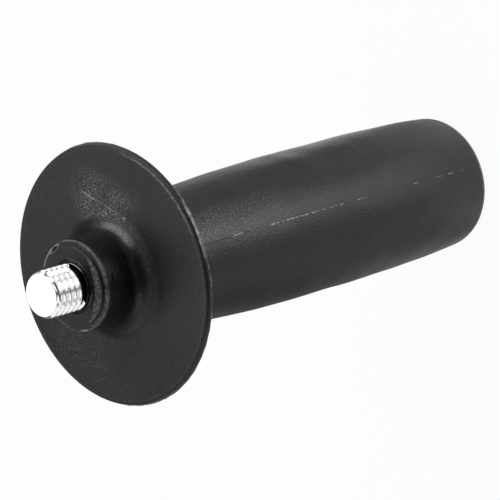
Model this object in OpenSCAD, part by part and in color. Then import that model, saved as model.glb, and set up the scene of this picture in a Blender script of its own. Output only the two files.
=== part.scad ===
// Side handle of an angle grinder: a moulded grip with a hand-guard flange and a hub,
// moulded round the hex bolt that screws into the grinder's gear head.
// The axis is Z. The origin is the middle of the hub's seat, where the bolt leaves the plastic.
// The free end of the bolt points up, and the butt of the grip is at the bottom.

/* [Barrel] */
// Length from the flange's front face to the butt
barrel_len = 104.8; // [85:0.1:130]
// Radius that the barrel has at the flange
neck_r = 12.3; // [11:0.1:14.5]
// Largest radius, at the belly
belly_r = 15.8; // [15:0.1:20]
// Distance from the flange's front face to the belly
belly_at = 60; // [45:1:70]
// Radius that the barrel has at the butt
butt_r = 14.55; // [12:0.05:16]
// How fast the neck flares into the belly
neck_power = 2.4; // [2:0.1:3]
// How late the belly tapers towards the butt
butt_power = 3; // [2:0.1:4]
// Round on the butt's edge
butt_round = 3; // [0.5:0.1:6]

/* [Flange] */
// Radius of the flange, over the flash on its rim
rim_r = 28; // [22:0.5:36]
// How far the flash stands out of the rim, at the flange's back
rim_flash = 0.2; // [0.1:0.05:0.4]
// Thickness of that flash
flash_thick = 0.2; // [0.1:0.05:0.2]
// Thickness of the flange at its rim
rim_thick = 1.1; // [1.1:0.1:4]
// Thickness of the flange at the neck
root_thick = 3; // [2:0.1:6]
// Round on the front edge of the rim
rim_round = 0.8; // [0.2:0.1:0.8]
// Fillet between the flange's back and the barrel
back_fillet = 2.5; // [0.5:0.1:4]

/* [Hub] */
// Height of the seat above the flange's front face
hub_len = 11; // [8:0.5:20]
// Radius of the hub's wall at the flange
hub_root_r = 10.3; // [9.8:0.1:13]
// Radius of the hub's wall at its shoulder
hub_front_r = 9.6; // [9.2:0.1:12]
// Fillet between the hub and the flange
hub_fillet = 4; // [1:0.1:6]
// Round on the shoulder's edge
shoulder_round = 0.4; // [0.1:0.1:0.6]
// Radius of the raised seat
seat_r = 8.4; // [7.4:0.1:8.9]
// Height of the seat above the shoulder
seat_rise = 0.5; // [0.3:0.1:1.5]
// Round on the seat's edge
seat_round = 0.15; // [0.05:0.05:0.3]

/* [Bolt] */
// Radius of the free end, over its thread
stud_r = 5; // [4:0.5:6]
// Length that stands out of the seat
stud_free = 9; // [7:0.1:25]
// How much the chamfer at the tip takes off the radius
tip_chamfer = 0.5; // [0.3:0.1:1]
// Length of that chamfer along the bolt
tip_length = 0.85; // [0.3:0.05:1.7]
// Radius of the knurled shank inside the plastic
knurl_r = 5.3; // [4.3:0.1:6.5]
// Length of the bolt under its head
bolt_len = 30; // [20:1:45]
// Width of the hex head across its flats
head_flats = 16; // [13:0.5:19]
// Thickness of the hex head
head_thick = 6.4; // [4:0.1:8]

/* [Fit] */
// Gap between the plastic and the bolt that it is moulded round
mould_gap = 0; // [0:0.01:0.1]

/* [Hidden] */

round_steps = 8;
barrel_steps = 26;
turn_fn = 128;

flange_z = -hub_len;
butt_z = flange_z - barrel_len;
back_root_z = flange_z - root_thick;
back_rim_z = flange_z - rim_thick;
flash_top_z = back_rim_z + flash_thick;
rim_wall_r = rim_r - rim_flash;
shoulder_z = -seat_rise;

shank_in = bolt_len - stud_free;
head_top_z = -shank_in;
head_corner_r = head_flats / 2 / cos(30);

// Barrel samples keep clear of the corners that are rounded at both ends.
first_sample = root_thick + 2 * back_fillet;
last_sample = barrel_len - 2 * butt_round;

function unit(v) = v / norm(v);

// Radius of the barrel at a distance behind the flange's front face:
// it rises from the neck to the belly and falls from there to the butt, level at the belly.
function barrel_r(at) =
    at < belly_at
    ? belly_r - (belly_r - neck_r) * pow(1 - at / belly_at, neck_power)
    : belly_r - (belly_r - butt_r) * pow((at - belly_at) / (barrel_len - belly_at), butt_power);

// The corner p between a and b, as an arc of radius r that touches both edges.
function corner(a, p, b, r) =
    let (
        u = unit(a - p),
        v = unit(b - p),
        half = acos(u * v) / 2,
        centre = p + unit(u + v) * r / sin(half),
        start = p + u * r / tan(half),
        from = atan2(start.y - centre.y, start.x - centre.x),
        sweep = sign(cross(p - a, b - p)) * (180 - 2 * half)
    )
    [for (i = [0 : round_steps])
        let (angle = from + sweep * i / round_steps)
        centre + r * [cos(angle), sin(angle)]];

// An outline of points [x, y, radius of the corner], with its corners rounded.
function rounded(path) =
    [for (i = [0 : len(path) - 1])
        let (
            p = path[i],
            before = path[(i + len(path) - 1) % len(path)],
            after = path[(i + 1) % len(path)],
            at = [p.x, p.y]
        )
        each p.z > 0 ? corner([before.x, before.y], at, [after.x, after.y], p.z) : [at]];

barrel_points =
    [for (i = [barrel_steps : -1 : 0])
        let (at = first_sample + (last_sample - first_sample) * i / barrel_steps)
        [barrel_r(at), flange_z - at, 0]];

body_outline = rounded(concat(
    [[0, butt_z, 0], [butt_r, butt_z, butt_round]],
    barrel_points,
    [
        [barrel_r(root_thick), back_root_z, back_fillet],
        [rim_r, back_rim_z, 0],
        [rim_r, flash_top_z, 0],
        [rim_wall_r, flash_top_z, 0],
        [rim_wall_r, flange_z, rim_round],
        [hub_root_r, flange_z, hub_fillet],
        [hub_front_r, shoulder_z, shoulder_round],
        [seat_r, shoulder_z, 0],
        [seat_r, 0, seat_round],
        [0, 0, 0]
    ]
));

// The part of the bolt that the plastic holds, larger all round by a gap.
module bolt_inside(gap) {
    translate([0, 0, head_top_z])
        cylinder(h = shank_in, r = knurl_r + gap, $fn = turn_fn);
    translate([0, 0, head_top_z - head_thick - gap])
        cylinder(h = head_thick + 2 * gap, r = head_corner_r + gap / cos(30), $fn = 6);
}

module grip() {
    color("#2b2b2d")
        difference() {
            rotate_extrude($fn = turn_fn)
                polygon(body_outline);
            bolt_inside(mould_gap);
        }
}

module stud() {
    color("#c8cacc")
        union() {
            bolt_inside(0);
            rotate_extrude($fn = turn_fn)
                polygon([
                    [0, 0],
                    [stud_r, 0],
                    [stud_r, stud_free - tip_length],
                    [stud_r - tip_chamfer, stud_free],
                    [0, stud_free]
                ]);
        }
}

grip();
stud();
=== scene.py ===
"""Side handle of an angle grinder: a black moulded grip and the zinc-plated bolt moulded into it.

Shapes are worked out in millimetres in the row's frame and turned into metres when a mesh is made.
The axis is Z, the seat of the hub is at z = 0, the bolt points up and the handle stands on its
butt. An angle round the axis is counted from -Y, where the mould's parting line shows, towards +X.
"""
import math

import bpy
import numpy as np
from mathutils import Matrix, Vector


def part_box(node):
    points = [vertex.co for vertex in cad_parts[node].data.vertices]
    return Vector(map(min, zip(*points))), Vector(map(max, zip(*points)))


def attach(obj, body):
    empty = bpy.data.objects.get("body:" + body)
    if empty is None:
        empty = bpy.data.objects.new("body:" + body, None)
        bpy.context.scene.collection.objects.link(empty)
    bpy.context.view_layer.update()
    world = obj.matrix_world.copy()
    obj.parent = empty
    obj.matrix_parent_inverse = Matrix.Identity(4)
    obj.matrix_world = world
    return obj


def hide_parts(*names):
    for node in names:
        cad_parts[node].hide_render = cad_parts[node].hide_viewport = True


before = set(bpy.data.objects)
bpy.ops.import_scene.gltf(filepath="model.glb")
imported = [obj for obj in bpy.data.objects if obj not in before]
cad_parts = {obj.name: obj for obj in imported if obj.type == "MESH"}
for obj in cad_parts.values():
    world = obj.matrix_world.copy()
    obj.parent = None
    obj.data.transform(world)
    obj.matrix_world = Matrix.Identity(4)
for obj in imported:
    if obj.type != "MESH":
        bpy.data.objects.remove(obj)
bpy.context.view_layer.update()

MM = 0.001
SEED = 7

# Sizes of the moulding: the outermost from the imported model, the others named as in its source
grip_low, grip_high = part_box("grip")
stud_low, stud_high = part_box("stud")
BUTT_Z = grip_low.z / MM
RIM_R = grip_high.x / MM
TIP_Z = stud_high.z / MM
HEAD_LOW_Z = stud_low.z / MM
HUB_LEN = 11.0
FLANGE_Z = -HUB_LEN
BARREL_LEN = FLANGE_Z - BUTT_Z
NECK_R = 12.3
BELLY_R = 15.8
BELLY_AT = 60.0
BUTT_R = 14.55
NECK_POWER = 2.4
BUTT_POWER = 3.0
BUTT_ROUND = 3.0
RIM_FLASH = 0.2
RIM_WALL_R = RIM_R - RIM_FLASH
RIM_THICK = 1.1
RIM_BACK_Z = FLANGE_Z - RIM_THICK
ROOT_THICK = 3.0
ROOT_BACK_Z = FLANGE_Z - ROOT_THICK
RIM_ROUND = 0.8
BACK_FILLET = 2.5
HUB_ROOT_R = 10.3
HUB_FRONT_R = 9.6
HUB_FILLET = 4.0
SHOULDER_ROUND = 0.4
SEAT_R = 8.4
SEAT_RISE = 0.5
SEAT_ROUND = 0.15

# Sizes of the bolt, and of the hidden pocket that the plastic makes round it
STUD_R = 5.0
KNURL_R = 5.3
HEAD_FLATS = 16.0
HEAD_THICK = 6.4
HEAD_TOP_Z = HEAD_LOW_Z + HEAD_THICK
TIP_CHAMFER = 0.5
TIP_LENGTH = 0.85
PITCH = 1.5
POCKET_MOUTH_Z = -0.3
SHANK_TOP_Z = -0.33
POCKET_GAP = 0.02

# How near two values lie that stand for the same height or radius
SAME = 0.01


# Curves and surfaces

def unit(v):
    """A vector scaled to length 1."""
    return v / np.linalg.norm(v)


def line(p, q, count):
    """Points from p up to but not including q, evenly spaced: p (1 - t) + q t."""
    t = np.arange(count)[:, None] / count
    return np.array(p, float) * (1 - t) + np.array(q, float) * t


def corner(a, p, b, radius, count):
    """The corner p between a and b as an arc that touches both edges, with its end points.

    Its centre lies on the bisector, radius / sin(half the angle) away from p.
    """
    a, p, b = (np.array(v, float) for v in (a, p, b))
    u, v = unit(a - p), unit(b - p)
    half = math.acos(u @ v) / 2
    centre = p + unit(u + v) * radius / math.sin(half)
    start = p + u * radius / math.tan(half) - centre
    before, after = p - a, b - p
    turn = np.sign(before[0] * after[1] - before[1] * after[0])
    sweep = turn * (math.pi - 2 * half) * np.linspace(0, 1, count)
    angle = math.atan2(start[1], start[0]) + sweep
    return centre + radius * np.stack([np.cos(angle), np.sin(angle)], 1)


def smooth(edge0, edge1, value):
    """0 below edge0, 1 above edge1, and the cubic 3t^2 - 2t^3 between them."""
    t = np.clip((value - edge0) / (edge1 - edge0), 0, 1)
    return t * t * (3 - 2 * t)


def window(low, high, soft, value):
    """1 between low and high and 0 outside, with smooth edges that reach soft to either side."""
    return smooth(low - soft, low + soft, value) * (1 - smooth(high - soft, high + soft, value))


def bump(value, centre, width):
    """A bell curve of height 1: exp(-((value - centre) / width)^2)."""
    return np.exp(-((value - centre) / width) ** 2)


def waves(points, length, count, seed):
    """Smooth noise of about -1 to 1, as a sum of plane waves cos(k . p + phase).

    Their directions and phases are random, and their wavelengths in mm lie near length.
    """
    rng = np.random.default_rng(SEED + seed)
    directions = rng.normal(size=(count, points.shape[-1]))
    directions /= np.linalg.norm(directions, axis=1, keepdims=True)
    numbers = directions * (2 * math.pi / length) * rng.uniform(0.6, 1.5, size=(count, 1))
    phases = rng.uniform(0, 2 * math.pi, size=count)
    return np.cos(points @ numbers.T + phases).sum(-1) * math.sqrt(2 / count) * 0.6


def angle_about(angle, centre):
    """The angle from centre, between -pi and pi."""
    return (angle - centre + math.pi) % (2 * math.pi) - math.pi


def degrees_about(angle, centre):
    """The angle from a centre given in degrees, between -180 and 180 degrees."""
    return np.degrees(angle_about(angle, math.radians(centre)))


def hexagon(angle):
    """Radius of a hexagon of apothem 1, with flats at 0 and every 60 degrees.

    It is 1 / cos of the angle off the middle of the nearest flat.
    """
    return 1 / np.cos((angle + math.pi / 6) % (math.pi / 3) - math.pi / 6)


def turned_points(radius, angle, height):
    """Points at a radius, angle and height: radius sin(angle), -radius cos(angle), height."""
    return np.stack([radius * np.sin(angle), -radius * np.cos(angle), height + 0 * angle], -1)


def outward(profile):
    """Unit normals of a profile of (radius, height) rows that runs up its outside.

    The tangent is the central difference (dr, dz), and the normal is (dz, -dr) over its length.
    """
    tangent = np.gradient(profile, axis=0)
    normal = np.stack([tangent[:, 1], -tangent[:, 0]], 1)
    return normal / np.maximum(np.linalg.norm(normal, axis=1, keepdims=True), 1e-9)


def closed_turning(name, points):
    """An object whose mesh is a grid of points (row, column, xyz) in mm.

    The grid is closed round its columns, and its first and last rows each close in a pole at
    their mean. Faces point outwards where the rows run up the outside.
    """
    rows, columns = points.shape[:2]
    poles = np.stack([points[0].mean(0), points[-1].mean(0)])
    vertices = np.concatenate([points.reshape(-1, 3), poles]) * MM
    row, column = np.meshgrid(np.arange(rows - 1), np.arange(columns), indexing="ij")
    here, right = row * columns + column, row * columns + (column + 1) % columns
    quads = np.stack([here, right, right + columns, here + columns], -1).reshape(-1, 4)
    first, second = np.arange(columns), (np.arange(columns) + 1) % columns
    last = (rows - 1) * columns
    bottom = np.stack([second, first, np.full(columns, rows * columns)], 1)
    top = np.stack([last + first, last + second, np.full(columns, rows * columns + 1)], 1)
    mesh = bpy.data.meshes.new(name)
    mesh.from_pydata(vertices.tolist(), [], quads.tolist() + bottom.tolist() + top.tolist())
    mesh.shade_smooth()
    piece = bpy.data.objects.new(name, mesh)
    bpy.context.scene.collection.objects.link(piece)
    return piece


# The grip

# Its columns stand at even steps round the axis, and closer beside the parting lines, in degrees
EVEN_COLUMNS = 252
CLOSE_DEGREES = np.array([0.14, 0.28, 0.42, 0.6, 0.85, 1.1])

# Radii of the rings next to its two poles, at the butt and under the bolt's head
BUTT_POLE_R = 0.3
HEAD_POLE_R = 0.4

# The lip of flash that climbs the bolt's neck in two thin rings, as (radius, height) from its foot
LIP = (
    (5.95, 0.0), (5.78, 0.04), (5.68, 0.2), (5.63, 0.44), (5.58, 0.5), (5.53, 0.44),
    (5.48, 0.2), (5.38, 0.06), (5.26, 0.06), (5.17, 0.25), (5.13, 0.62), (5.07, 0.77),
    (5.0, 0.77), (4.94, 0.62), (4.88, 0.3), (4.6, 0.12),
)
LIP_MEAN = 0.92
LIP_WAVE = 0.08

# Waves of the moulded skin: their height and their length in mm, and how many are summed
LONG_WAVE = (0.05, 22)
SHORT_WAVE = (0.035, 9)
FLANGE_WAVE = (0.025, 14)
WAVE_COUNT = 24
SINK = 0.02

# One side of the barrel waves more: its middle and width in degrees, and by how much more
UNEVEN_ANGLE = 62
UNEVEN_WIDTH = 17
UNEVEN_GAIN = 1.3
UNEVEN_FROM_Z = -95
UNEVEN_FULL_Z = -75

# The two parting lines: angle in degrees, and the height of the flash as a share
PARTING_LINES = ((0, 1.0), (180, 0.8))

# Stretches of them where the flash stands proud, in mm below the seat: from, to, height
FLASH_STRETCHES = (
    (33.9, 36.4, 0.11), (44.8, 58.2, 0.1), (58.2, 64.0, 0.03), (64.7, 67.3, 0.06),
    (71.7, 74.3, 0.045), (90.6, 91.6, 0.05), (97.8, 99.8, 0.045), (101.6, 104.0, 0.06),
    (106.7, 107.3, 0.04),
)
FLASH_WIDTH = 0.09
FLASH_SOFT = 0.6

# Between the flange and the first stretch a low even seam shows, and all along, a fine step
SEAM_HEIGHT = 0.04
SEAM_ENDS = 31.5
MOULD_STEP = 0.02

# The fin at the back edge of the rim: how far in its foot begins, the rows up its side, its mean
# height and its limits
FIN_FOOT = 0.12
FIN_RISES = (0, 0.03, 0.07, 0.11, 0.15, 0.2)
FIN_MEAN = 0.14
FIN_LEAST = 0.02
FIN_MOST = 0.45

# Burrs on it, as angle and width in degrees and height, and between which angles it is clean
RIM_BURRS = (
    (-2, 2.0, 0.2), (-18, 1.6, 0.25), (-32.5, 1.5, 0.2), (19, 3, 0.1), (140, 3, 0.12),
    (215, 2, 0.12),
)
RIM_CLEAN = (28, 62)

# The vent mark on the hub's shoulder, an ellipse with a raised edge
VENT_ANGLE = math.radians(105)
VENT_R = 8.95
VENT_LEN = 1.1
VENT_WIDTH = 0.28
VENT_EDGE = 0.16
VENT_DEPTH = 0.5

# The worn ring on the seat: its radius and width, the angles it lies between, and its roughness
WORN_R = 7.6
WORN_WIDTH = 0.9
WORN_DEGREES = (-87.4, 32.9)
WORN_RISE = 0.02
WORN_WAVE = 0.03


def barrel_r(behind):
    """Radius of the barrel, by the distance behind the flange's front face.

    It is belly - (belly - neck) (1 - t)^2.4 up to the belly, t being the share of that way, and
    belly - (belly - butt) t^3 from there to the butt.
    """
    rise = BELLY_R - (BELLY_R - NECK_R) * np.clip(1 - behind / BELLY_AT, 0, 1) ** NECK_POWER
    past = np.clip((behind - BELLY_AT) / (BARREL_LEN - BELLY_AT), 0, 1)
    fall = BELLY_R - (BELLY_R - BUTT_R) * past ** BUTT_POWER
    return np.where(behind < BELLY_AT, rise, fall)


def grip_columns():
    """Angles of the columns: even steps of a full turn, and close ones beside 0 and 180."""
    even = np.arange(EVEN_COLUMNS) * 360 / EVEN_COLUMNS
    close = np.concatenate([CLOSE_DEGREES, -CLOSE_DEGREES])
    return np.radians(np.unique(np.concatenate([even, close % 360, close + 180])))


def grip_profile():
    """The moulding's section as (radius, height) rows, in straight lines and arcs that touch them.

    It runs up the barrel, over flange, hub, seat and lip, and down the pocket. The last number of
    each line and corner is how many rows it has.
    """
    behind = np.linspace(BARREL_LEN - 2 * BUTT_ROUND, ROOT_THICK + 2 * BACK_FILLET, 112)
    barrel = np.stack([barrel_r(behind), FLANGE_Z - behind], 1)
    butt = corner((0, BUTT_Z), (BUTT_R, BUTT_Z), barrel[0], BUTT_ROUND, 14)
    root = (float(barrel_r(ROOT_THICK)), ROOT_BACK_Z)
    rim_back, rim_front = (RIM_WALL_R, RIM_BACK_Z), (RIM_WALL_R, FLANGE_Z)
    back = corner(barrel[-1], root, rim_back, BACK_FILLET, 12)
    hub_root, hub_front = (HUB_ROOT_R, FLANGE_Z), (HUB_FRONT_R, -SEAT_RISE)
    front = corner(rim_back, rim_front, hub_root, RIM_ROUND, 12)
    fillet = corner(front[-1], hub_root, hub_front, HUB_FILLET, 20)
    step = (SEAT_R, -SEAT_RISE)
    shoulder = corner(fillet[-1], hub_front, step, SHOULDER_ROUND, 7)
    seat = corner(step, (SEAT_R, 0), LIP[0], SEAT_ROUND, 4)
    mouth = (LIP[-1][0], POCKET_MOUTH_Z)
    pocket = (mouth, (KNURL_R, POCKET_MOUTH_Z - POCKET_GAP), (KNURL_R, HEAD_TOP_Z))
    parts = [
        line((BUTT_POLE_R, BUTT_Z), butt[0], 14), butt, barrel, back,
        line(back[-1], rim_back, 22)[1:], [(RIM_WALL_R - FIN_FOOT, RIM_BACK_Z)],
        [(RIM_WALL_R, RIM_BACK_Z + rise) for rise in FIN_RISES], front,
        line(front[-1], fillet[0], 44)[1:], fillet,
        line(fillet[-1], shoulder[0], 14)[1:], shoulder,
        line(shoulder[-1], step, 7)[1:], line(step, seat[0], 3), seat,
        line(seat[-1], LIP[0], 18)[1:], LIP, pocket,
    ]
    return np.concatenate([np.asarray(part, float) for part in parts])


def skin_push(points, radius, angle, height, on_barrel):
    """How far the moulded skin swells: waves of two lengths on the barrel, less a small sink.

    Near one angle they are higher, by 1 + gain times a bell curve. The flange's front has waves
    of its own.
    """
    tall, length = LONG_WAVE
    sink = tall * waves(points, length, WAVE_COUNT, seed=3) - SINK
    tall, length = SHORT_WAVE
    sink = sink + tall * waves(points, length, WAVE_COUNT, seed=4)
    side = bump(degrees_about(angle, UNEVEN_ANGLE), 0, UNEVEN_WIDTH)
    uneven = 1 + UNEVEN_GAIN * side * smooth(UNEVEN_FROM_Z, UNEVEN_FULL_Z, height)
    tall, length = FLANGE_WAVE
    on_front = (np.abs(height - FLANGE_Z) < SAME) * smooth(13, 16, radius)
    front = on_front * tall * waves(points, length, WAVE_COUNT, seed=5)
    return on_barrel * sink * uneven + front


def flash_height(height):
    """Height of the flash along a parting line: windows of it, times waves along the line."""
    below = -height
    run = sum(tall * window(a, b, FLASH_SOFT, below) for a, b, tall in FLASH_STRETCHES)
    along = below[..., None]
    broken = 0.65 + 0.5 * waves(along, 1.7, 12, seed=1) + 0.3 * waves(along, 6.0, 8, seed=2)
    seam = SEAM_HEIGHT * (1 - smooth(SEAM_ENDS - 1, SEAM_ENDS + 1, below))
    return seam + run * np.clip(broken, 0.05, 1.3)


def parting_push(radius, angle, height, on_barrel):
    """The flash at both parting lines, a bell curve across them, and the fine step beside it."""
    push = 0
    for line_angle, share in PARTING_LINES:
        off = angle_about(angle, math.radians(line_angle))
        side = radius * np.sin(off)
        near = (np.cos(off) > 0) * (height < ROOT_BACK_Z)
        ridge = bump(side, 0, FLASH_WIDTH) * flash_height(height) * share * smooth(9, 12, radius)
        fades = smooth(-4.0, -0.5, -np.abs(side)) * on_barrel
        push = push + near * (ridge + MOULD_STEP * smooth(-0.15, 0.15, side) * fades)
    return push


def vent_push(radius, angle, height):
    """The vent mark on the shoulder: a dip inside an ellipse, and a bell curve over its edge."""
    along, across = VENT_R * angle_about(angle, VENT_ANGLE), radius - VENT_R
    distance = np.sqrt((along / VENT_LEN) ** 2 + (across / VENT_WIDTH) ** 2)
    on_shoulder = (height > -SEAT_RISE - 0.3) * (radius > SEAT_R + SAME)
    edge, dip = VENT_EDGE * bump(distance, 1.35, 0.35), 1 - smooth(0.7, 1.05, distance)
    return on_shoulder * (edge - VENT_DEPTH * dip)


def wear_push(points, radius, angle, height):
    """The rough ring of wear on the seat: a bell curve over the radius, times its rise and waves.
    """
    on_seat = (height > -SAME) * (radius > LIP[0][0]) * (radius < SEAT_R - 0.1)
    wear_and_edge_highlights = bump(radius, WORN_R, WORN_WIDTH) * window(*WORN_DEGREES, 12.9, degrees_about(angle, 0))
    return on_seat * wear_and_edge_highlights * (WORN_RISE + WORN_WAVE * waves(points, 0.9, WAVE_COUNT, seed=6))


def rim_fin(points, radius, angle, height):
    """How far the fin at the rim's back edge stands out: waves and burrs, each a bell curve.

    It stays inside the CAD's box, and hardly any is left where the rim is clean.
    """
    fin = FIN_MEAN + 0.05 * waves(points, 3.0, WAVE_COUNT, seed=7)
    fin = fin + 0.04 * waves(points, 1.1, WAVE_COUNT, seed=8)
    for where, wide, tall in RIM_BURRS:
        fin = fin + tall * bump(degrees_about(angle, where), 0, wide)
    fin = fin * (1 - 0.95 * window(*RIM_CLEAN, 5, degrees_about(angle, 0)))
    room = RIM_R / np.maximum(np.abs(np.sin(angle)), np.abs(np.cos(angle))) - RIM_WALL_R
    fin = np.clip(fin, FIN_LEAST, np.minimum(room, FIN_MOST))
    at_edge = smooth(RIM_WALL_R - 0.1, RIM_WALL_R - SAME, radius)
    return fin * bump(height, RIM_BACK_Z, 0.1) * at_edge


def grip_piece():
    """The moulding: its profile turned round the axis, with its points pushed along the normals.

    The fin adds to the radius, and the lip's height is multiplied by waves. Below the profile's
    last row follow the pocket's hexagon round the bolt's head and a ring that closes it.
    """
    angle = grip_columns()[None, :]
    profile = grip_profile()
    radius, height = profile[:, :1], profile[:, 1:]
    points = turned_points(radius, angle, height)
    on_barrel = smooth(0.5, 4, height - BUTT_Z) * smooth(1.0, 5.0, ROOT_BACK_Z - height)
    push = skin_push(points, radius, angle, height, on_barrel)
    push = push + parting_push(radius, angle, height, on_barrel)
    push = push + vent_push(radius, angle, height) + wear_push(points, radius, angle, height)

    normal = outward(profile)
    r = radius + push * normal[:, :1] + rim_fin(points, radius, angle, height)
    z = height + push * normal[:, 1:]
    on_neck = turned_points(STUD_R + 0 * radius, angle, 0 * height)
    lip = LIP_MEAN + LIP_WAVE * waves(on_neck, 4.0, 16, seed=9)
    z = np.where((height > 0.03) * (radius < LIP[0][0]), z * lip, z)
    surface = np.stack([r * np.sin(angle), -r * np.cos(angle), z], -1)

    turn = angle[0]
    head_r = HEAD_FLATS / 2 * hexagon(turn)
    head = [turned_points(head_r, turn, level) for level in (HEAD_TOP_Z, HEAD_LOW_Z)]
    head.append(turned_points(HEAD_POLE_R + 0 * turn, turn, HEAD_LOW_Z))
    return closed_turning("grip_moulding", np.concatenate([surface, head]))


# The bolt

THREAD_COLUMNS = 240
ROWS_PER_PITCH = 46
TIP_POLE_R = 0.2

# Height of a crest's middle at angle 0, and from there, as shares of a pitch, where the crest's
# flat ends and where the root begins
CREST_Z = 2.42
CREST_PHASE = 1 / 16
ROOT_PHASE = 0.42
CREST_WEAR = 0.03

# The first turn is broken off where the bolt faces -Y: the blank's radius there, and for each end
# of the gap its angle in degrees, its slant in degrees per mm and the height it is given at
BLANK_R = 4.5
GAP_LEFT = (-42.0, -10.0, 1.9)
GAP_RIGHT = (45.0, 12.0, 2.6)


def thread_r(angle, height):
    """Radius of the thread, by the phase: the distance from a crest's middle in pitches.

    It is the crest's, less sqrt(3) times the distance along the axis from the crest's edge, down
    to the root. The thread runs out towards the seat, and the broken turn has the blank's radius.
    """
    about = angle_about(angle, 0)
    turns = (height - CREST_Z) / PITCH - about / (2 * math.pi)
    phase = np.abs((turns + 0.5) % 1 - 0.5)
    depth = math.sqrt(3) * PITCH * (np.clip(phase, CREST_PHASE, ROOT_PHASE) - CREST_PHASE)
    edge = CREST_WEAR * smooth(0.045, CREST_PHASE, phase)
    r = STUD_R - depth * smooth(0.2, 0.9, height) - edge
    left, right = (at + slant * (level - height) for at, slant, level in (GAP_LEFT, GAP_RIGHT))
    gap = window(left, right, 1, np.degrees(about)) * (1 - smooth(-0.52, -0.48, turns))
    return r * (1 - gap) + BLANK_R * gap


def bolt_piece():
    """The bolt: hex head, shank, thread and chamfered tip, turned round the axis.

    Where there is thread, a row's radius is the smaller of the thread's and the chamfer's, and
    the head's is multiplied by the hexagon's.
    """
    angle = (np.arange(THREAD_COLUMNS) * 2 * math.pi / THREAD_COLUMNS)[None, :]
    thread_z = np.arange(0, TIP_Z - 1e-6, PITCH / ROWS_PER_PITCH)
    tip_r, head_r, shank_r = STUD_R - TIP_CHAMFER, HEAD_FLATS / 2, KNURL_R - POCKET_GAP
    profile = np.concatenate([
        [(HEAD_POLE_R, HEAD_LOW_Z), (head_r, HEAD_LOW_Z), (head_r, HEAD_TOP_Z)],
        [(shank_r, HEAD_TOP_Z), (shank_r, SHANK_TOP_Z - POCKET_GAP), (BLANK_R, SHANK_TOP_Z)],
        np.stack([np.full_like(thread_z, STUD_R), thread_z], 1),
        [(tip_r, TIP_Z)],
        line((tip_r - 0.1, TIP_Z), (TIP_POLE_R, TIP_Z), 10),
        [(TIP_POLE_R, TIP_Z)],
    ])
    radius, height = profile[:, :1], profile[:, 1:]
    r = np.where(radius > head_r - SAME, radius * hexagon(angle), radius + 0 * angle)
    chamfer = tip_r + (TIP_Z - height) * TIP_CHAMFER / TIP_LENGTH
    threaded = (height > -SAME) * (radius > STUD_R - SAME)
    r = np.where(threaded, np.minimum(thread_r(angle, height), chamfer), r)
    return closed_turning("threaded_bolt", turned_points(r, angle, height))


# Materials

class Value:
    """A number that changes over a surface: a socket with the arithmetic that adds Math nodes."""

    def __init__(self, nodes, socket):
        self.nodes = nodes
        self.socket = socket

    def math(self, operation, *operands, clamp=False):
        """A Math node's result."""
        settings = {"operation": operation, "use_clamp": clamp}
        node = self.nodes.put("ShaderNodeMath", settings, dict(enumerate(operands)))
        return Value(self.nodes, node.outputs[0])

    def __add__(self, other):
        return self.math("ADD", self, other)

    def __radd__(self, other):
        return self.math("ADD", other, self)

    def __sub__(self, other):
        return self.math("SUBTRACT", self, other)

    def __rsub__(self, other):
        return self.math("SUBTRACT", other, self)

    def __mul__(self, other):
        return self.math("MULTIPLY", self, other)

    def __rmul__(self, other):
        return self.math("MULTIPLY", other, self)

    def __truediv__(self, other):
        return self.math("DIVIDE", self, other)

    def __pow__(self, other):
        return self.math("POWER", self, other)

    def abs(self):
        return self.math("ABSOLUTE", self)

    def clamp(self):
        """The value kept between 0 and 1."""
        return self.math("ADD", self, 0.0, clamp=True)

    def most(self, other):
        return self.math("MAXIMUM", self, other)

    def between(self, low, high):
        """0 at low, 1 at high, smooth between them; high may be the smaller."""
        settings = {"interpolation_type": "SMOOTHSTEP"}
        inputs = {"Value": self, "From Min": low, "From Max": high}
        node = self.nodes.put("ShaderNodeMapRange", settings, inputs)
        return Value(self.nodes, node.outputs["Result"])

    def span(self, low, high, soft):
        """1 from low to high, falling smoothly to 0 over soft beyond each of them."""
        return self.between(low - soft, low) * self.between(high + soft, high)


class Nodes:
    """The nodes of a material or a world, which is emptied first."""

    def __init__(self, owner):
        owner.use_nodes = True
        self.owner = owner
        self.tree = owner.node_tree
        self.tree.nodes.clear()

    def put(self, kind, settings=None, inputs=None):
        """One node of a type, with its settings, and the values or links of its sockets."""
        node = self.tree.nodes.new(kind)
        for key, value in (settings or {}).items():
            setattr(node, key, value)
        for key, value in (inputs or {}).items():
            socket = value.socket if isinstance(value, Value) else value
            if isinstance(socket, bpy.types.NodeSocket):
                self.tree.links.new(socket, node.inputs[key])
            else:
                node.inputs[key].default_value = socket
        return node

    def ray(self, kind):
        """1 for the rays of a kind and 0 for the others."""
        return Value(self, self.put("ShaderNodeLightPath").outputs[f"Is {kind} Ray"])


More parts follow.
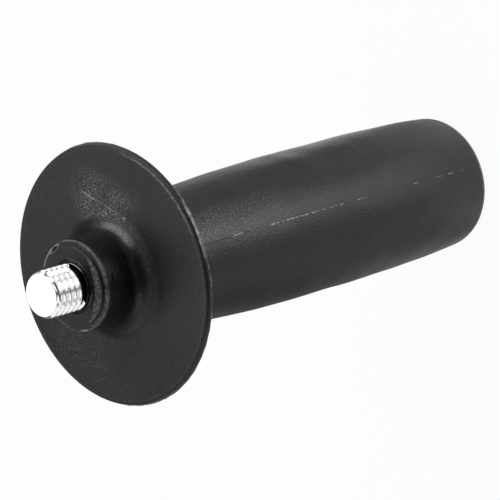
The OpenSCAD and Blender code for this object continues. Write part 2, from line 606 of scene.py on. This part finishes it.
class Paint(Nodes):
    """A new material's nodes, with coordinates in millimetres and the angle in degrees."""

    def __init__(self, name):
        super().__init__(bpy.data.materials.new(name))
        place = self.put("ShaderNodeTexCoord").outputs["Object"]
        inputs = {"Vector": place, "Scale": 1 / MM}
        scaled = self.put("ShaderNodeVectorMath", {"operation": "SCALE"}, inputs)
        self.point = scaled.outputs["Vector"]
        xyz = self.put("ShaderNodeSeparateXYZ", None, {"Vector": self.point})
        self.x, self.y, self.z = (Value(self, xyz.outputs[axis]) for axis in "XYZ")
        self.r = (self.x * self.x + self.y * self.y) ** 0.5
        self.angle = self.x.math("ARCTAN2", self.x, self.y * -1) * (180 / math.pi)

    def noise(self, size, detail, rough, stretch=None):
        """Noise of 0 to 1 whose features are about size mm.

        Detail is how many finer layers it has, rough is how much they count, and stretch scales
        the coordinates first.
        """
        point = self.point
        if stretch:
            inputs = {0: point, 1: stretch}
            scaled = self.put("ShaderNodeVectorMath", {"operation": "MULTIPLY"}, inputs)
            point = scaled.outputs["Vector"]
        inputs = {"Vector": point, "Scale": 1 / size, "Detail": detail, "Roughness": rough}
        return Value(self, self.put("ShaderNodeTexNoise", None, inputs).outputs["Fac"])

    def mix(self, share, first, second):
        """The colour that is first where share is 0 and second where it is 1."""
        inputs = {0: share, 6: first, 7: second}
        return self.put("ShaderNodeMix", {"data_type": "RGBA"}, inputs).outputs[2]

    def relief(self, height, depth):
        """The normal of a surface whose height of 0 to 1 stands for depth in mm."""
        inputs = {"Height": height, "Distance": depth * MM, "Strength": 1.0}
        return self.put("ShaderNodeBump", None, inputs).outputs["Normal"]

    def finish(self, inputs):
        """Principled BSDF with these sockets, as the material's surface."""
        shader = self.put("ShaderNodeBsdfPrincipled", None, inputs)
        self.put("ShaderNodeOutputMaterial", None, {"Surface": shader.outputs["BSDF"]})
        return self.owner


def grey(level):
    """A colour with the same level in its three channels."""
    return (level, level, level, 1.0)


# Greys of the plastic: clean, also as painted shade; hazy, also as painted light; and pale from
# wear or stress, also as painted highlights and glints
CLEAN_AND_SHADED_PLASTIC = grey(0.002)
HAZY_AND_LIT_PLASTIC = grey(0.013)
PALE_PLASTIC = grey(0.4)

# Sizes in mm of its grain, specks, glints, clouds and broad mottling, and the grain's depth
GRAIN_SIZE = 0.38
SPECK_SIZE = 0.24
GLINT_SIZE = 0.29
CLOUD_SIZE = 4.5
MOTTLE_SIZE = 17.0
GRAIN_DEPTH = 0.11

# The witness line that crosses the flange: the way along it as x, y, and its distance from the axis
WITNESS_ALONG = (0.673, 0.74)
WITNESS_OFF = 13.6


def flash_and_highlight_mask(paint):
    """The parting line's flash, painted pale with its highlight in it: palest where it is tallest,
    in dashes.
    """
    tallest = max(tall for _, _, tall in FLASH_STRETCHES)
    proud = sum(paint.z.span(-b, -a, 0.4) * (tall / tallest) for a, b, tall in FLASH_STRETCHES)
    dashes = paint.noise(1.1, 2.0, 0.5, stretch=(0.0, 0.0, 1.0)).between(0.4, 0.6)
    on_line = paint.x.abs().between(0.19, 0.05) * paint.y.between(-9.0, -11.0)
    return proud * dashes * on_line


def rim_fin_and_highlight_mask(paint):
    """The rim's pale fin, and the wider ribbon on the rim's back where the parting line meets it:
    flash, with the highlight along the back edge painted in.
    """
    fin = paint.r.between(RIM_WALL_R + 0.02, RIM_WALL_R + 0.1)
    ribbon = paint.r.between(RIM_WALL_R - 0.25, RIM_WALL_R - 0.15)
    ribbon = ribbon * paint.z.between(FLANGE_Z - 0.38, FLANGE_Z - 0.6)
    ribbon = ribbon * paint.angle.span(-1.0, 12.0, 9.0)
    patchy = 0.45 + 0.55 * paint.noise(1.2, 3.0, 0.6).between(0.4, 0.65)
    return (fin * 0.8 + ribbon * 0.85).clamp() * patchy


def witness_place(paint):
    """The distance from the witness line, and the way along it, both in mm."""
    along_x, along_y = WITNESS_ALONG
    off = paint.x * along_y - paint.y * along_x - WITNESS_OFF
    return off, paint.x * along_x + paint.y * along_y


def witness_mask(paint):
    """The witness line across the flange, in dashes."""
    off, along = witness_place(paint)
    dashes = paint.noise(1.6, 3.0, 0.6, stretch=(1.0, 1.0, 0.0)).between(0.46, 0.62)
    return off.abs().between(0.32, 0.1) * along.span(-2.0, 12.5, 0.8) * dashes


def painted_glint_mask(paint, cloud, glint):
    """Pale specks painted as the glints of the flange's grain: dense by the witness line, coarse
    low down, thin at the sides.
    """
    off, along = witness_place(paint)
    beside = off.span(-2.0, 2.0, 6.0) * along.span(3.0, 9.5, 9.0)
    low = paint.angle.span(-168.0, -130.0, 20.0) * paint.r.span(15.5, 22.0, 4.0)
    sides = paint.angle.span(65.0, 115.0, 20.0) + paint.angle.span(-150.0, -105.0, 20.0)
    sides = sides * paint.r.between(17.0, 21.0) * 0.09
    uneven = cloud.between(0.2, 0.6)
    dense = glint.between(0.5, 0.74) * (0.03 + sides + beside * 1.45 * uneven)
    return dense + glint.between(0.56, 0.76) * low * 0.6 * uneven


def painted_rim_highlight_mask(paint):
    """A painted highlight where the flange's front turns into its rim, grainy, and brightest on one
    side.
    """
    edge = paint.r.span(RIM_WALL_R - 1.1, RIM_WALL_R - 0.8, 0.25)
    edge = edge * paint.z.between(FLANGE_Z - 0.3, FLANGE_Z - 0.1)
    patchy = paint.noise(0.5, 3.0, 0.65).between(0.35, 0.7)
    return edge * (0.12 + paint.angle.span(14.0, 48.0, 14.0)) * patchy


def wear_and_edge_highlight_mask(paint):
    """Wear on the near side of the seat and shoulder, and painted highlights as fine pale lines
    along their edges.
    """
    r, z, angle = paint.r, paint.z, paint.angle
    ragged = (paint.noise(1.3, 3.0, 0.65) - 0.5) * 1.2
    inner = 6.1 + (angle + 22.0) ** 2 * 0.00052 + ragged
    ring = (r - inner).between(0.0, 0.25) * r.between(SEAT_R - 0.05, SEAT_R - 0.3)
    ring = ring * z.between(-0.6, -0.4)
    shoulder = r.span(8.95, 9.5, 0.2) * z.between(-1.5, -1.0) * 0.5
    patchy = 0.1 + 0.9 * paint.noise(0.7, 3.0, 0.7).between(0.42, 0.66)
    # Painted highlights: thin pale lines along the hub's and the seat's edges, and an arc on the
    # far side
    hub_edge = r.span(9.4, 9.62, 0.06) * z.between(-1.2, -0.8)
    seat_edge = r.span(8.3, 8.42, 0.04) * z.between(-0.35, -0.15)
    far_side = angle.span(112.0, 150.0, 8.0) + angle.span(-140.0, -95.0, 10.0)
    arc = r.span(9.2, 9.6, 0.08) * z.between(-1.0, -0.7) * far_side * 1.3
    broken = paint.noise(2.2, 2.0, 0.6).between(0.36, 0.56)
    edges = ((hub_edge + seat_edge * 0.5) * 0.5 + arc) * broken
    return (ring + shoulder) * angle.span(-80.0, 46.0, 12.0) * patchy + edges


def painted_sheen_glint_mask(paint):
    """Where pale specks are painted as glints in the sheen along the barrel beside its parting
    line, strongest by the flange.
    """
    seam = paint.x.abs().between(0.2, 0.06) * paint.z.between(-33.5, -33.0)
    along = paint.z.between(-66.0, -30.0) * paint.z.between(-13.0, -14.5)
    return paint.angle.span(5.0, 22.0, 14.0) * along * (1 - seam)


def vent_mask(paint):
    """The raised edge of the vent mark, by the distance in its ellipse."""
    across = paint.x * math.sin(VENT_ANGLE) - paint.y * math.cos(VENT_ANGLE) - VENT_R
    along = paint.x * math.cos(VENT_ANGLE) + paint.y * math.sin(VENT_ANGLE)
    distance = ((along / VENT_LEN) ** 2 + (across / VENT_WIDTH) ** 2) ** 0.5
    on_shoulder = paint.z.between(-1.2, -0.7) * paint.r.between(VENT_R - 1, VENT_R - 0.6)
    return distance.span(1.05, 1.7, 0.3) * on_shoulder


def moulded_plastic():
    """Black plastic with a fine grain, a mottled sheen, pale flash and wear, and painted
    highlights, glints and shade.
    """
    paint = Paint("black_plastic")
    r, z, angle = paint.r, paint.z, paint.angle
    grain = paint.noise(GRAIN_SIZE, 2.0, 0.6)
    speck = paint.noise(SPECK_SIZE, 1.0, 0.5)
    glint = paint.noise(GLINT_SIZE, 2.0, 0.6)
    cloud = paint.noise(CLOUD_SIZE, 4.0, 0.62)
    mottle = paint.noise(MOTTLE_SIZE, 2.0, 0.5)
    sparks = glint.between(0.5, 0.74)

    # Places: the flange's front, the near side of the hub's wall, its fillet and the part of that
    # with a painted highlight, the smooth lip round the bolt, and a painted highlight on its inner
    # ring's top
    front = z.between(FLANGE_Z - 0.3, FLANGE_Z - 0.05) * r.between(11.0, 13.5)
    wall = r.between(11.2, 10.6) * z.between(-1.1, -2.0) * angle.span(-50.0, 50.0, 30.0)
    fillet = r.span(10.0, 12.0, 1.2) * z.span(FLANGE_Z - 0.2, -8.0, 0.6)
    painted_fillet_highlight = r.span(10.6, 11.2, 0.8) * z.span(-10.6, -9.4, 0.7) * angle.span(30.0, 60.0, 14.0)
    lip = r.between(6.1, 5.85) * z.between(-0.2, 0.0)
    painted_crown_highlight = r.span(4.95, 5.13, 0.04) * z.between(0.4, 0.6) * angle.span(34.0, 60.0, 14.0)
    wear_and_edge_highlights = wear_and_edge_highlight_mask(paint)

    # Pale marks: flash and wear, and painted highlights and glints where light catches the surface
    pale = flash_and_highlight_mask(paint) * 1.35 + rim_fin_and_highlight_mask(paint) + painted_rim_highlight_mask(paint) * 0.5
    pale = pale + front * (witness_mask(paint) * 0.6 + painted_glint_mask(paint, cloud, glint))
    pale = pale + wear_and_edge_highlights * 0.42 + vent_mask(paint) * 0.35 + painted_crown_highlight
    pale = pale + painted_sheen_glint_mask(paint) * (0.34 * sparks + 0.2 * speck.between(0.54, 0.7))
    pale = pale + painted_fillet_highlight * (0.7 * sparks + 0.18)

    # Haze, and painted light and shade: a little lighter on the upper half of the flange as painted
    # light, and hardly any on the hub's wall as painted shade
    upper = (paint.x - paint.y * 0.6).between(-24.0, 4.0)
    haze_and_painted_shading = cloud * 0.4 + speck.between(0.35, 0.65) * 0.6 + front * (upper - 0.55) * 0.9 - wall * 0.6
    dark = paint.mix(haze_and_painted_shading, CLEAN_AND_SHADED_PLASTIC, HAZY_AND_LIT_PLASTIC)
    roughness = 0.3 + (cloud - 0.5) * 0.22 + (mottle - 0.5) * 0.12 + wear_and_edge_highlights * 0.1
    roughness = roughness - fillet * 0.08 - wall * 0.08
    return paint.finish({
        "Base Color": paint.mix(pale.clamp(), dark, PALE_PLASTIC),
        "Roughness": roughness * (1 - lip) + lip * 0.12,
        "Normal": paint.relief(grain * (1 - lip), GRAIN_DEPTH),
        "Specular IOR Level": 0.36,
    })


# The plating's colour, its greyer colour in the thread's root, and the dark grey painted on the
# neck by the seat as its shade
PLATE = (0.9, 0.905, 0.915, 1.0)
ROOT_PLATE = (0.5, 0.5, 0.51, 1.0)
PAINTED_NECK_SHADE = grey(0.05)

# Sizes in mm of the plating's clouds and scratches, the scratches' depth, and how much thinner
# than long they are
PLATE_CLOUD_SIZE = 1.6
SCRATCH_SIZE = 0.25
SCRATCH_DEPTH = 0.006
SCRATCH_STRETCH = 6.0


def zinc_plate():
    """Bright zinc plate, a little uneven, with painted shade on the near side of the neck by the
    seat.
    """
    paint = Paint("zinc_steel")
    cloud = paint.noise(PLATE_CLOUD_SIZE, 3.0, 0.6)
    scratch = paint.noise(SCRATCH_SIZE, 2.0, 0.5, stretch=(1.0, 1.0, SCRATCH_STRETCH))
    root = paint.r.between(4.25, 4.08) * paint.z.between(1.6, 2.0)
    # Painted shade: the neck where the thread is broken off is painted dark on its side towards -Y
    painted_neck_shade = paint.r.between(BLANK_R + 0.06, BLANK_R + 0.02) * paint.z.between(2.6, 2.3)
    painted_neck_shade = painted_neck_shade * paint.angle.span(-66.0, 64.0, 3.0)
    base = paint.mix(root * 0.35, PLATE, ROOT_PLATE)
    return paint.finish({
        "Base Color": paint.mix(painted_neck_shade, base, PAINTED_NECK_SHADE),
        "Metallic": 1.0,
        "Roughness": 0.15 + (cloud - 0.5) * 0.1,
        "Normal": paint.relief(scratch, SCRATCH_DEPTH),
    })


# The pieces

grip = grip_piece()
grip.data.materials.append(moulded_plastic())
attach(grip, "root")
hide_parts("grip")

bolt = bolt_piece()
bolt.data.materials.append(zinc_plate())
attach(bolt, "root")
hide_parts("stud")


# The studio

# The photograph's camera: where it aims in mm, its direction from there and its roll in degrees
AIM = (-4.43, -25.70, -26.34)
CAMERA_AZIMUTH = -3.214
CAMERA_ELEVATION = 44.534
CAMERA_ROLL = 106.295
CAMERA_DISTANCE = 792.3
LENS = 278.25

# Lamps that look at the handle's middle from one distance in metres, unseen by the camera:
# azimuth and elevation in degrees, width and height in metres, radiance
SOFTBOX_DISTANCE = 0.9
SOFTBOXES = {
    "key": (74, 29, 0.95, 0.45, 2.6),
    "side_low": (112, 14, 0.4, 0.45, 1.7),
    "right_high": (99, 51, 0.4, 0.1, 7.0),
    "right_low": (122, 33, 0.34, 0.16, 1.4),
    "back_top": (164, 57, 0.75, 0.6, 1.32),
    "left": (242, 36, 0.9, 0.6, 0.88),
    "left_low": (286, 13, 0.7, 0.4, 1.1),
    "left_top": (280, 61, 0.28, 0.38, 1.15),
    "top": (18, 75, 0.32, 0.14, 2.3),
    "right_top": (68, 65, 0.28, 0.12, 2.0),
}

# Lamps that lie just over the floor and shine up, in front of the handle: distance, width and
# depth in mm, radiance
CARD_AZIMUTH = 12
CARD_RISE = 1
CARDS = {
    "near_card": (55, 34, 50, 0.95),
    "middle_card": (120, 66, 80, 2.8),
    "far_card": (250, 120, 180, 3.3),
}

# The floor's half width in metres and its grey, and how much of its look is plain white for the
# camera; the rest is lit by the lamps and keeps the shadow
FLOOR_HALF = 3.0
FLOOR_GREY = grey(0.8)
CAMERA_SHARE = 0.95

# How bright the floor is in reflections: beside the handle, and the painted light added in front of
# it and at its right, or lost beyond it to a painted shadow, with the distances in mm over which
# each of them comes or goes
MIRROR_SIDE = 0.46
MIRROR_FRONT = 0.28
FRONT_AZIMUTH = 10
FRONT_FADE = (-5, 25)
MIRROR_RIGHT = 0.62
RIGHT_AZIMUTHS = (122, 154)
RIGHT_FADE = (150, 20)
MIRROR_BEYOND = 0.24
BEYOND_AZIMUTH = 207
BEYOND_FADE = (22, 60)
FAR_FADE = (120, 200)

# Places of painted light and shade on the mirrored floor: azimuths from and to and their softness,
# distances in mm from and to and their softness, and what they add
FLOOR_BANDS = (
    (82, 102, 14, 45, 98, 10, -0.2),
    (64, 122, 10, 88, 102, 8, -0.2),
    (-29, -20, 4, 260, 1500, 80, -0.8),
    (-40, 50, 30, 0, 26, 8, 0.3),
    (-75, -40, 10, 640, 3000, 90, -0.6),
)

# How bright the room is where the camera doesn't see it
ROOM_LEVEL = 0.16


def direction(azimuth, elevation):
    """The direction to an azimuth, 0 at -Y and 90 at +X, and an elevation, in degrees."""
    a, e = math.radians(azimuth), math.radians(elevation)
    return Vector((math.sin(a) * math.cos(e), -math.cos(a) * math.cos(e), math.sin(e)))


def facing(back, roll=0.0):
    """Turns an object so that its -Z looks against back, rolled by degrees from upright."""
    upright = (Vector((0, 0, 1)) - back * back.z).normalized()
    side = upright.cross(back)
    up = upright * math.cos(math.radians(roll)) + side * math.sin(math.radians(roll))
    return Matrix((up.cross(back), up, back)).transposed().to_4x4()


def photograph_camera():
    """The camera, at its distance from the aim and looking against its direction."""
    data = bpy.data.cameras.new("camera")
    data.lens = LENS
    data.sensor_width = 36.0
    data.clip_start, data.clip_end = 0.05, 20.0
    camera = bpy.data.objects.new("camera", data)
    back = direction(CAMERA_AZIMUTH, CAMERA_ELEVATION)
    place = Vector(AIM) * MM + back * CAMERA_DISTANCE * MM
    camera.matrix_world = Matrix.Translation(place) @ facing(back, CAMERA_ROLL)
    bpy.context.scene.collection.objects.link(camera)
    bpy.context.scene.camera = camera


def lamp(name, width, height, radiance, place, turn):
    """A rectangular lamp of even radiance, unseen by the camera.

    Its power is radiance times pi times its area, in metres.
    """
    data = bpy.data.lights.new(name, "AREA")
    data.shape = "RECTANGLE"
    data.size, data.size_y = width, height
    data.energy = radiance * math.pi * width * height
    piece = bpy.data.objects.new(name, data)
    piece.matrix_world = Matrix.Translation(place) @ turn
    piece.visible_camera = False
    bpy.context.scene.collection.objects.link(piece)


def softboxes_and_cards():
    """The lamps round the handle, on a sphere about its middle, and those on the floor."""
    middle = Vector((0, 0, BUTT_Z / 2 * MM))
    for name, (azimuth, elevation, width, height, radiance) in SOFTBOXES.items():
        back = direction(azimuth, elevation)
        lamp(name, width, height, radiance, middle + back * SOFTBOX_DISTANCE, facing(back))
    shines_up = Matrix.Rotation(math.pi, 4, "X")
    turn = Matrix.Rotation(math.radians(CARD_AZIMUTH), 4, "Z") @ shines_up
    for name, (away, width, depth, radiance) in CARDS.items():
        place = direction(CARD_AZIMUTH, 0) * away + Vector((0, 0, BUTT_Z + CARD_RISE))
        lamp(name, width * MM, depth * MM, radiance, place * MM, turn)


def towards(paint, azimuth):
    """The distance in mm from the axis towards an azimuth: the point's x, y along its direction."""
    way = direction(azimuth, 0)
    return paint.x * way.x + paint.y * way.y


def mirrored_floor(paint):
    """How bright the floor is in reflections, with its painted light and shadow."""
    gain = towards(paint, FRONT_AZIMUTH).between(*FRONT_FADE) * MIRROR_FRONT
    loss = towards(paint, BEYOND_AZIMUTH).between(*BEYOND_FADE) * MIRROR_BEYOND
    right = paint.angle.span(*RIGHT_AZIMUTHS, 14) * paint.r.between(*RIGHT_FADE) * MIRROR_RIGHT
    far = paint.r.between(*FAR_FADE)
    level = MIRROR_SIDE + gain + right - loss * (1 - far) + far * MIRROR_FRONT
    for from_azimuth, to_azimuth, turn, near, away, soft, more in FLOOR_BANDS:
        place = paint.angle.span(from_azimuth, to_azimuth, turn) * paint.r.span(near, away, soft)
        level = level + place * more
    return level


def white_floor():
    """A white floor under the butt; the camera sees it nearly white, with a part of its shadow."""
    mesh = bpy.data.meshes.new("floor")
    signs = ((-1, -1), (1, -1), (1, 1), (-1, 1))
    corners = [(x * FLOOR_HALF, y * FLOOR_HALF, BUTT_Z * MM) for x, y in signs]
    mesh.from_pydata(corners, [], [(0, 1, 2, 3)])
    floor = bpy.data.objects.new("floor", mesh)
    bpy.context.scene.collection.objects.link(floor)
    paint = Paint("white_floor")
    seen, mirrored = paint.ray("Camera"), paint.ray("Glossy").most(paint.ray("Transmission"))
    level = seen + mirrored * mirrored_floor(paint)
    glow = paint.put("ShaderNodeEmission", None, {"Color": level, "Strength": 1.0})
    lit = paint.put("ShaderNodeBsdfDiffuse", None, {"Color": FLOOR_GREY})
    share = (seen * CAMERA_SHARE + mirrored).clamp()
    inputs = {0: share, 1: lit.outputs["BSDF"], 2: glow.outputs["Emission"]}
    mixed = paint.put("ShaderNodeMixShader", None, inputs)
    paint.put("ShaderNodeOutputMaterial", None, {"Surface": mixed.outputs["Shader"]})
    floor.data.materials.append(paint.owner)


def pale_world():
    """An even dim room, which the camera sees as white."""
    nodes = Nodes(bpy.data.worlds.new("room"))
    level = nodes.ray("Camera") * (1 - ROOM_LEVEL) + ROOM_LEVEL
    background = nodes.put("ShaderNodeBackground", None, {"Strength": level})
    nodes.put("ShaderNodeOutputWorld", None, {"Surface": background.outputs["Background"]})
    bpy.context.scene.world = nodes.owner


photograph_camera()
white_floor()
pale_world()
softboxes_and_cards()
bpy.context.scene.view_settings.view_transform = "Standard"
